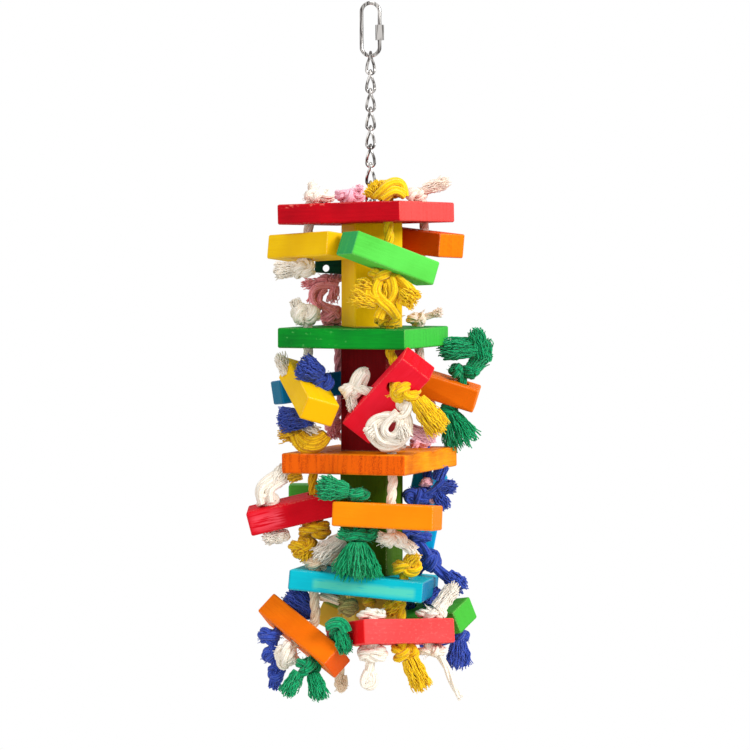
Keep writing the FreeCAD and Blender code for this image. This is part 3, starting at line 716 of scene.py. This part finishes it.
# what shows of each rope, in mm: the middle and half sizes of its knots; the root and tip of its
# frayed ends, how wide they are there, and how many yarns; and loose turns with their thickness
ropes = {
    "rope_1_left": {
        "cotton": "white",
        "knots": [
            ((-37, -15, -139), (12, 9, 6)), ((-42, -15, -132), (3.5, 3.5, 4.5)),
            ((-49, -18, -191), (11, 9, 8)),
        ],
        "ends": [((-55, -19, -191), (-70, -21, -193), 5, 6, 140)],
        "loops": [([(-53, -18, -192), (-59, -19, -191), (-66, -20, -193)], 0.9)],
    },
    "rope_1_front": {
        "cotton": "yellow",
        "knots": [((14, -42, -135), (10, 9, 8)), ((9, -47, -196), (12, 9, 6.5))],
        "ends": [
            ((6, -45, -140), (4, -46, -128), 5, 6, 110), ((4, -46, -140), (-3, -47, -133), 3, 5, 60),
            ((11, -48, -202), (12, -50, -222), 5, 6, 90), ((23, -53, -208), (33, -58, -215), 5, 7.5, 150),
            ((4, -52, -216), (-15, -56, -209), 4, 7, 90), ((5, -50, -206), (-11, -54, -201), 3, 5, 40),
        ],
        "loops": [
            ([(5, -48, -141), (9, -52, -135), (14, -50, -131), (20, -46, -130), (23, -44, -134),
              (23, -44, -140)], 1.2),
            ([(9, -52, -142), (14, -54, -137), (19, -52, -136), (23, -48, -139)], 1.1),
            ([(6, -50, -199), (2, -53, -206), (7, -56, -214), (15, -56, -219), (19, -52, -225)], 1.1),
            ([(14, -50, -199), (18, -54, -206), (14, -53, -215), (8, -53, -220), (6, -52, -226)], 1.1),
            ([(1, -50, -202), (-3, -54, -208), (1, -56, -213), (6, -56, -213)], 0.85),
            ([(19, -48, -198), (26, -52, -203), (30, -54, -209), (26, -54, -216), (21, -56, -213)], 1.1),
        ],
    },
    "rope_1_right": {
        "cotton": "peach",
        "knots": [((33, 15, -137), (9, 8, 6.5)), ((34, 14, -190), (9, 8, 7))],
        "ends": [((39, 14, -133), (58, 12, -127), 4, 4.5, 130)],
        "loops": [([(36, 14, -135), (44, 13, -132), (51, 12, -130)], 0.85)],
    },
    "rope_1_back": {
        "cotton": "pink",
        "knots": [((-16, 42, -137), (12, 10, 6.5))],
        "ends": [((-11, 41, -132), (-5, 40, -132), 3, 4, 40)],
    },
    "rope_1_back_dusty": {
        "cotton": "dustyPink",
        "knots": [((-31, 40, -200), (10, 8, 6))],
        "ends": [
            ((-38, 38, -201), (-52, 34, -202), 3, 4, 40), ((-39, 36, -205), (-42, 32, -218), 3, 6, 45),
            ((-26, 35, -203), (-29, 33, -217), 3, 5, 50), ((-30, 38, -202), (-30, 34, -195), 4, 6, 30),
            ((-38, 30, -218), (-43, 26, -224), 3, 5, 40),
        ],
        "loops": [
            ([(-24, 34, -203), (-36, 33, -202), (-44, 31, -208), (-41, 30, -217), (-31, 30, -220),
              (-24, 32, -227)], 0.85),
            ([(-33, 33, -206), (-39, 30, -212), (-35, 29, -218), (-26, 31, -220)], 0.6),
        ],
    },
    "rope_2_left": {
        "cotton": "white",
        "knots": [((-47, -19, -224), (12, 10, 9)), ((-51, -16, -298), (8, 8, 7))],
        "ends": [
            ((-51, -20, -220), (-56, -22, -213), 4, 4, 50), ((-51, -20, -303), (-35, -24, -312), 3, 5, 60),
            ((-61, 2, -268), (-67, 4, -252), 4, 5, 80),
        ],
    },
    "rope_2_left_blue": {
        "cotton": "blue",
        "knots": [((-34, -24, -273), (10, 8, 8)), ((-47, -24, -300), (7, 7, 6))],
        "ends": [
            ((-35, -26, -267), (-51, -32, -257), 5, 8, 190),
            ((-39, -26, -269), (-54, -30, -265), 4, 5, 70),
            ((-49, -25, -299), (-67, -28, -299), 6.5, 9, 210),
        ],
    },
    "rope_2_front": {
        "cotton": "yellow",
        "knots": [((13, -40, -228), (11, 9, 5.5)), ((24, -62, -277), (12, 9, 9.5))],
        "ends": [((33, -61, -284), (51, -64, -307), 6, 8.5, 230)],
        "loops": [
            ([(26, -60, -280), (33, -62, -284), (40, -62, -290), (44, -62, -298)], 1.1),
            ([(28, -62, -282), (35, -64, -291), (41, -63, -299)], 1),
        ],
    },
    "rope_2_front_white": {
        "cotton": "white",
        "knots": [((-13, -38, -278), (9.5, 8, 6.5)), ((24, -58, -287), (6, 6, 7))],
        "ends": [
            ((-6, -38, -268), (-4, -38, -261), 4, 3.5, 60), ((-14, -38, -282), (-12, -40, -294), 4, 4, 60),
            ((2, -58, -305), (-3, -60, -309), 4, 5, 60), ((22, -62, -301), (26, -62, -311), 4, 6, 70),
            ((24, -59, -285), (25, -59, -281), 4, 4, 50),
        ],
        "loops": [
            ([(-12, -38, -278), (-11, -38, -270), (-6, -37, -264), (-3, -36, -267),
              (-6, -37, -274)], 1.15),
            ([(-10, -40, -276), (-8, -40, -270), (-5, -39, -265)], 1),
            ([(28, -62, -285), (26, -62, -295), (18, -60, -296), (9, -58, -297), (3, -57, -304),
              (6, -57, -311), (14, -57, -314), (23, -58, -311), (25, -60, -304), (21, -60, -297)], 0.95),
            ([(23, -60, -291), (28, -60, -299), (26, -58, -309), (18, -55, -317), (8, -54, -317),
              (0, -55, -311), (-1, -57, -302), (5, -58, -296), (15, -60, -294), (23, -60, -299)], 0.95),
            ([(19, -63, -292), (11, -62, -299), (9, -61, -306), (15, -61, -310), (21, -62, -305),
              (21, -62, -298)], 0.8),
            ([(2, -60, -301), (4, -60, -309), (11, -58, -314), (21, -60, -313)], 0.8),
        ],
    },
    "rope_2_front_pink": {
        "cotton": "pink",
        "ends": [((28, -52, -305), (47, -52, -313), 4.5, 4.5, 110)],
    },
    "rope_2_right": {
        "cotton": "peach",
        "knots": [((34, 19, -228), (8.5, 8, 6)), ((41, 26, -293), (8, 8, 7))],
        "ends": [((46, 15, -224), (53, 14, -222), 2.5, 3.5, 50)],
        "loops": [([(36, 18, -228), (43, 16, -225), (49, 15, -223)], 0.7)],
    },
    "rope_2_right_green": {
        "cotton": "green",
        "knots": [((64, 27, -266), (7, 8, 6.5)), ((74, 27, -266), (8, 8, 7)), ((58, 27, -295), (8, 8, 6))],
        "ends": [
            ((82, 23, -255), (77, 19, -234), 6, 5, 220), ((73, 25, -265), (87, 24, -251), 4, 6.5, 170),
            ((85, 24, -259), (84, 21, -241), 4, 5, 110), ((79, 24, -249), (49, 20, -250), 7, 7.5, 240),
            ((58, 26, -297), (70, 22, -323), 5, 14, 230),
        ],
        "loops": [([(70, 26, -268), (78, 26, -265), (83, 25, -259), (82, 24, -251)], 1.1)],
    },
    "rope_2_back": {
        "cotton": "dustyPink",
        "knots": [((-29, 36, -225), (9, 8, 8)), ((-28, 34, -306), (8, 8, 7))],
        "ends": [
            ((-28, 32, -307), (-27, 30, -317), 4, 6, 60), ((-28, 34, -229), (-36, 32, -230), 4, 4, 50),
        ],
    },
    "rope_3_left": {
        "cotton": "yellowInPaintedShade",
        "knots": [
            ((-45, -17, -313), (13, 10, 9)), ((-40, -18, -379), (14, 10, 8)),
            ((-48, -20, -392), (12, 10, 10)),
        ],
        "ends": [
            ((-49, -20, -309), (-67, -24, -310), 4, 6, 100),
            ((-50, -18, -339), (-61, -20, -342), 4, 4, 70),
            ((-43, -20, -390), (-51, -22, -402), 6, 9, 120),
        ],
        "loops": [
            ([(-54, -24, -311), (-52, -26, -318), (-43, -27, -321), (-34, -26, -318),
              (-32, -24, -312)], 1.15),
            ([(-51, -26, -310), (-47, -28, -315), (-38, -28, -315), (-33, -26, -310)], 1.1),
        ],
    },
    "rope_3_left_white": {
        "cotton": "white",
        "knots": [((-75, -17, -357), (9.5, 8, 7)), ((-64, -16, -384), (6, 6, 5))],
        "ends": [
            ((-70, -18, -346), (-60, -16, -333), 5.5, 6.5, 170),
            ((-64, -17, -385), (-78, -20, -385), 4, 4.5, 90),
            ((-20, -26, -385), (-41, -30, -401), 5, 7, 190),
        ],
        "loops": [
            ([(-77, -20, -360), (-81, -20, -352), (-74, -19, -344), (-65, -18, -339)], 1.3),
            ([(-71, -22, -359), (-74, -22, -352), (-68, -20, -346), (-62, -18, -342)], 1.1),
        ],
    },
    "rope_3_front": {
        "cotton": "white",
        "knots": [((14, -42, -317), (12, 10, 5)), ((16, -45, -384), (11, 8, 6.5))],
        "ends": [
            ((11, -46, -383), (4, -47, -381), 3, 4, 40), ((21, -46, -385), (33, -46, -393), 4, 4, 70),
        ],
    },
    "rope_3_front_green": {
        "cotton": "green",
        "knots": [((-9, -43, -352), (10, 8, 5.5)), ((-9, -44, -381), (14, 9, 6))],
        "ends": [
            ((-16, -44, -349), (-39, -48, -346), 5, 9, 230),
            ((-17, -45, -381), (-24, -46, -378), 4, 4, 40), ((-1, -45, -381), (6, -46, -378), 4, 4, 40),
            ((-9, -46, -386), (-9, -49, -414), 6, 18, 360),
        ],
    },
    "rope_3_right": {
        "cotton": "blue",
        "knots": [((34, 8, -357), (11, 7, 7))],
        "ends": [
            ((49, 6, -345), (53, 4, -333), 4, 4.5, 110), ((50, 6, -351), (63, 3, -349), 4.5, 5, 100),
            ((49, 6, -355), (55, 3, -367), 4.5, 5.5, 110),
        ],
        "loops": [
            ([(30, 8, -358), (40, 6, -358), (48, 5, -352), (53, 5, -345)], 1),
            ([(39, 7, -360), (47, 6, -355), (55, 5, -351)], 0.9),
        ],
    },
    "rope_3_right_pink": {
        "cotton": "pink",
        "knots": [((41, 8, -347), (5.5, 5, 4)), ((45, 8, -360), (4, 4, 3)), ((36, 16, -319), (9, 8, 5))],
    },
    "rope_3_back": {
        "cotton": "white",
        "knots": [((-16, 41, -315), (9, 9, 6)), ((-19, 38, -396), (8, 8, 8))],
        "ends": [((-19, 36, -399), (-26, 32, -406), 4, 5, 60)],
    },
    "rope_4_left_white": {
        "cotton": "white",
        "knots": [((-60, -32, -468), (9, 8, 11))],
    },
    "rope_4_left": {
        "cotton": "natural",
        "knots": [((-40, -26, -403), (9, 8, 6))],
        "ends": [((-33, -27, -400), (-20, -28, -398), 4, 5, 60)],
    },
    "rope_4_left_blue": {
        "cotton": "blue",
        "knots": [
            ((-47, -13, -440), (8, 7, 6)), ((-73, -22, -456), (10, 8, 7)), ((-72, -24, -469), (7, 6, 7)),
            ((-68, -24, -483), (7, 6, 8)),
        ],
        "ends": [
            ((-41, -14, -439), (-61, -16, -425), 7, 9, 220),
            ((-69, -24, -486), (-70, -24, -495), 4, 4.5, 60),
        ],
        "loops": [
            ([(-70, -23, -459), (-71, -24, -467), (-68, -24, -476), (-70, -24, -485),
              (-70, -24, -490)], 0.95),
        ],
    },
    "rope_4_left_green": {
        "cotton": "green",
        "knots": [((-26, -50, -445), (5.5, 5, 4.5)), ((-45, -42, -475), (9.5, 8, 8))],
        "ends": [
            ((-22, -52, -448), (-17, -54, -465), 4, 5.5, 120),
            ((-51, -43, -479), (-61, -46, -496), 4.5, 5.5, 150),
            ((-41, -43, -480), (-35, -47, -499), 4.5, 6.5, 190),
        ],
        "loops": [([(-30, -52, -446), (-26, -54, -442), (-19, -54, -443), (-17, -54, -449)], 1.2)],
    },
    "rope_4_front": {
        "cotton": "yellow",
        "knots": [((25, -36, -405), (11.5, 9, 7.5)), ((24, -36, -466), (10.5, 9, 8))],
        "ends": [
            ((27, -38, -401), (33, -40, -393), 5, 5, 60), ((24, -36, -429), (10, -38, -437), 3, 6, 60),
            ((28, -38, -470), (39, -40, -493), 6, 7, 220),
        ],
    },
    "rope_4_front_white": {
        "cotton": "white",
        "knots": [
            ((1, -47, -437), (10.5, 8, 5)), ((1, -46, -465), (12.5, 9, 8)), ((-1, -46, -483), (5, 5, 6)),
        ],
        "loops": [
            ([(1, -46, -467), (-1, -46, -476), (-1, -47, -484), (-4, -48, -488), (-5, -48, -482),
              (-2, -47, -478)], 1),
            ([(1, -47, -478), (4, -47, -484), (0, -47, -490), (-4, -46, -487)], 0.9),
        ],
    },
    "rope_4_front_natural": {
        "cotton": "white",
        "knots": [((45, -26, -439), (12, 8, 5)), ((45, -26, -466), (11, 8, 5))],
        "ends": [
            ((63, -28, -497), (66, -28, -501), 2, 2.5, 20),
            ((48, -26, -436), (63, -24, -417), 5.5, 4.5, 150),
        ],
        "loops": [([(48, -26, -467), (54, -27, -476), (58, -28, -487), (63, -28, -497)], 0.75)],
    },
    "rope_4_right": {
        "cotton": "blue",
        "knots": [((35, 10, -387), (12, 7, 5)), ((44, 14, -405), (8, 8, 9)), ((66, 0, -459), (7, 6, 5.5))],
        "ends": [
            ((56, 10, -415), (69, 6, -427), 5, 7, 150), ((51, 14, -427), (39, 10, -437), 4, 5, 60),
            ((64, 0, -462), (64, -3, -483), 5, 9, 210), ((29, 9, -384), (24, 8, -386), 3, 3, 30),
        ],
        "loops": [
            ([(30, 10, -388), (38, 10, -394), (43, 12, -403), (48, 13, -412), (57, 10, -417)], 1.15),
            ([(37, 14, -466), (48, 8, -465), (58, 3, -462), (65, 0, -459)], 0.9),
        ],
    },
    "rope_4_back": {
        "cotton": "maroon",
        "knots": [((-30, 35, -407), (9, 8, 6)), ((-26, 24, -472), (8, 8, 7))],
        "ends": [((-33, 34, -404), (-36, 32, -396), 4, 5, 30)],
    },
    "rope_4_back_natural": {
        "cotton": "natural",
        "knots": [((-22, 20, -497), (5, 5, 6))],
        "loops": [
            ([(-25, 24, -472), (-21, 21, -482), (-24, 20, -495), (-22, 20, -502), (-19, 20, -497),
              (-21, 20, -491)], 1),
            ([(-36, -24, -427), (-29, -28, -428), (-22, -30, -430)], 0.9),
        ],
    },
    "rope_4_back_olive": {
        "cotton": "olive",
        "knots": [((-16, -30, -434), (8.5, 7, 7.5))],
        "ends": [((-19, -30, -429), (-23, -32, -426), 3, 4, 40)],
    },
    "rope_4_front_gold": {
        "cotton": "yellowInPaintedShade",
        "knots": [((-1, -30, -430), (5.5, 5, 4))],
        "ends": [((12, -32, -430), (18, -34, -438), 5, 6, 70)],
    },
}

cornerSigns = {"left": (-1, -1), "front": (1, -1), "right": (1, 1), "back": (-1, 1)}
boardList = list(boards)


# the line that a rope takes through its board and its side block, or through the block alone
def ropeRoute(node):
    tier, corner = node.split("_")[1:3]
    blockNode = next(b for b in blocks if b.startswith(f"block_{tier}_{corner}"))
    angles, _, (along, across) = blocks[blockNode]
    blockTurn, blockMiddle = turned(angles), middleOf(blockNode) / mm
    halfThick = wood["thickness"] / 2
    if node in shortRopes:
        axis, along = shortRopes[node]
        reach = halfThick if axis == "through" else wood["width"] / 2
        way = Vector((0, 0, 1)) if axis == "through" else Vector((0, -1, 0))
        out = reach + strand["out"]
        return [blockMiddle + blockTurn @ (Vector((along, 0, 0)) + way * h) for h in (out, 0, -out)]
    boardNode = boardList[int(tier) - 1]
    boardTurn, boardMiddle = turned(boards[boardNode]), middleOf(boardNode) / mm
    sx, sy = cornerSigns[corner]
    hole = Vector((sx * wood["ropeReach"], sy * wood["ropeReach"], 0))
    top, under = (boardMiddle + boardTurn @ (hole + Vector((0, 0, h)))
                  for h in (strand["start"], -wood["boardHalf"][2]))
    upper, lower = (blockMiddle + blockTurn @ Vector((along, across, h)) for h in (halfThick, -halfThick))
    lead = min(strand["lead"], strand["leadShare"] * (under.z - upper.z))
    down, up = boardTurn @ Vector((0, 0, -1)), blockTurn @ Vector((0, 0, 1))
    entry = upper + up * lead
    places = [top, under, under + down * lead, entry, upper, lower - up * strand["out"]]
    if entry.z < lower.z + lead:
        # the hole lies nearly level, so the rope first comes down to above its mouth
        places.insert(3, Vector((under.x, entry.y, entry.z + 3 * lead)))
    return places


# ropes that only go through a side block: which way, and where along it
shortRopes = {
    "rope_2_right_green": ("through", 24), "rope_3_left_white": ("through", -14),
    "rope_3_front_green": ("through", -22), "rope_4_left_blue": ("through", -18),
    "rope_4_left_green": ("through", 21), "rope_4_front_white": ("through", -23),
    "rope_4_front_natural": ("through", 21), "rope_2_front_white": ("edge", -6),
}
for name, rope in ropes.items():
    ownKnots, ends = rope.get("knots", []), rope.get("ends", [])
    thickCurve = softCurve(name + "Strands", strand["radius"], strand["roundness"])
    nodes = [name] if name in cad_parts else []
    if nodes:
        # each end goes on from its hole into the nearest knot, or into a small stopper knot of its own
        route = ropeRoute(name)
        knots = [Vector(k[0]) for other in ropes if other.startswith(name)
                 for k in ropes[other].get("knots", [])]
        above, below = (min(knots, key=lambda knot: (knot - place).length)
                        for place in (route[0], route[-1]))
        if (below - route[-1]).length > strand["slack"]:
            below = route[-1]
            tieKnot(thickCurve, below, strand["stopper"])
        route = [above if (above - route[0]).length < strand["slack"] else route[0], *route, below]
        layStrands(thickCurve, smoothLine(route))
    for middle, half in ownKnots:
        tieKnot(thickCurve, middle, half)
    for places, thick in rope.get("loops", []):
        layStrands(thickCurve, smoothLine(places), thick, strand["looseLay"])
    if thickCurve.splines:
        meshFrom(thickCurve, name + "_strands", cottonLooks["Strand", rope["cotton"]], nodes)
    yarnCurve = softCurve(name + "Yarns", strand["yarn"], strand["yarnRoundness"])
    for middle, half in ownKnots:
        strayYarns(yarnCurve, middle, half)
    for root, tip, rootWide, tipWide, yarns in ends:
        frayEnd(yarnCurve, Vector(root), Vector(tip), rootWide, tipWide, yarns)
    meshFrom(yarnCurve, name + "_yarns", cottonLooks["Yarn", rope["cotton"]], [])
print("ropes tied")
